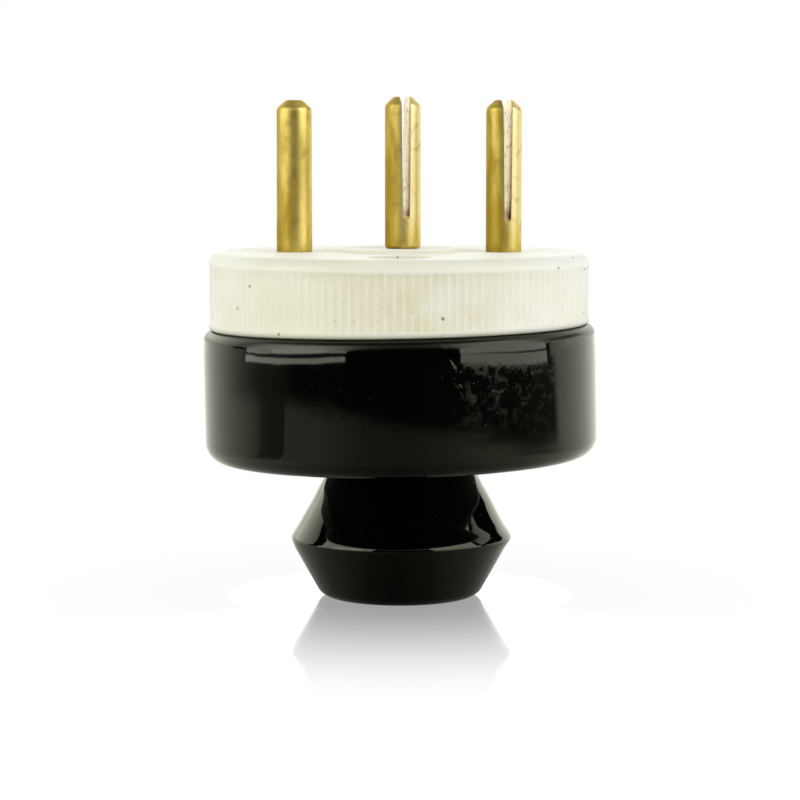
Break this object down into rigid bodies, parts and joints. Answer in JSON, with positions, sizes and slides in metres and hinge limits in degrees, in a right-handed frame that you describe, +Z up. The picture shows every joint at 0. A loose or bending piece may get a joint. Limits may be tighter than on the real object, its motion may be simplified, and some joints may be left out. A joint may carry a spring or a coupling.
{
  "type": "porcelain power plug",
  "caption": "Round porcelain power plug: black glazed cap with a waisted cord neck, ribbed white pin plate, slotted brass pins in line and a hollow wiring space.",
  "frame": {"origin": "centre of the neck's flat foot, on the plug's axis", "axes": "+Z up the plug's axis towards the pins, +X along the row of pins, towards the higher side of the seam"},
  "size_m": [0.0532, 0.053, 0.0675],
  "materials": {
    "black_glaze": "black glaze over porcelain, glossy, with small pits",
    "white_porcelain": "unglazed cream-white porcelain with fine dark specks",
    "brass": "turned brass, slightly tarnished",
    "screw_brass": "turned brass, dull",
    "fibre": "red-brown vulcanised fibre"
  },
  "bodies": {
    "root": {"cap": "black_glaze", "pin_plate": "white_porcelain", "pin_left": "brass", "pin_middle": "brass", "pin_right": "brass", "seat_washer_left": "brass", "seat_washer_middle": "brass", "seat_washer_right": "brass", "fixing_nut_left": "brass", "fixing_nut_middle": "brass", "fixing_nut_right": "brass", "terminal_washer_left": "brass", "terminal_washer_middle": "brass", "terminal_washer_right": "brass", "terminal_nut_left": "brass", "terminal_nut_middle": "brass", "terminal_nut_right": "brass", "screw_front": "screw_brass", "screw_back": "screw_brass", "screw_washer_front": "fibre", "screw_washer_back": "fibre", "square_nut_front": "screw_brass", "square_nut_back": "screw_brass"}
  },
  "joints": []
}
